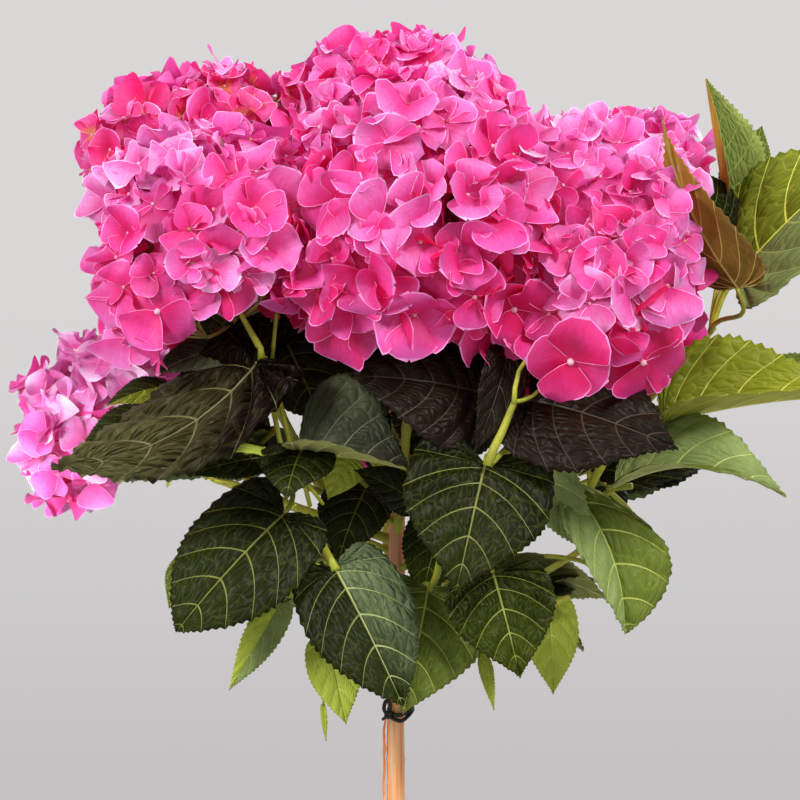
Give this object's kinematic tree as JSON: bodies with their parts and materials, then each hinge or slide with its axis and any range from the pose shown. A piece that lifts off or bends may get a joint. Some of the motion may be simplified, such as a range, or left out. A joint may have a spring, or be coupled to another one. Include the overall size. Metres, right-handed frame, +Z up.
{
  "type": "potted standard hydrangea",
  "caption": "Pink mophead hydrangea grown as a standard: a bare stem in a plain clay pot, with a round crown of flower heads over hanging leaves.",
  "frame": {"origin": "middle of the pot's flat underside, on the ground", "axes": "+Z up along the stem, +X to the plant's right as seen from its front, -Y to the front"},
  "size_m": [0.5955, 0.4259, 0.9445],
  "materials": {
    "clay": "matte",
    "compost": "matte",
    "bark": "satin",
    "green_wood": "satin",
    "tie": "matte",
    "petals": "matte",
    "leaves": "satin"
  },
  "bodies": {
    "root": {"pot": "clay", "soil": "compost", "stem": "bark", "tie": "tie", "cane_back": "green_wood", "cane_back_left": "green_wood", "cane_back_right": "green_wood", "cane_centre": "green_wood", "cane_left_back": "green_wood", "cane_left_front": "green_wood", "cane_low_back": "green_wood", "cane_low_left": "green_wood", "cane_right_back": "green_wood", "cane_right_front": "green_wood", "cane_top": "green_wood", "shoot_back_left": "green_wood", "shoot_back_right": "green_wood", "shoot_centre": "green_wood", "shoot_far_right": "green_wood", "shoot_front": "green_wood", "shoot_left": "green_wood", "shoot_left_inner": "green_wood", "shoot_low_back": "green_wood", "shoot_low_back_left": "green_wood", "shoot_low_front": "green_wood", "shoot_low_left": "green_wood", "shoot_low_right": "green_wood", "shoot_right_inner": "green_wood", "shoot_right_lower": "green_wood", "head_back": "petals", "head_back_left": "petals", "head_back_right": "petals", "head_centre": "petals", "head_left_back": "petals", "head_left_front": "petals", "head_low_back": "petals", "head_low_left": "petals", "head_right_back": "petals", "head_right_front": "petals", "head_top": "petals", "leaves_back_left": "leaves", "leaves_back_right": "leaves", "leaves_centre": "leaves", "leaves_far_right": "leaves", "leaves_front": "leaves", "leaves_high_right": "leaves", "leaves_left": "leaves", "leaves_left_inner": "leaves", "leaves_low_back": "leaves", "leaves_low_back_left": "leaves", "leaves_low_front": "leaves", "leaves_low_left": "leaves", "leaves_low_right": "leaves", "leaves_right_inner": "leaves", "leaves_right_lower": "leaves", "leaves_right_upper": "leaves"}
  },
  "joints": []
}
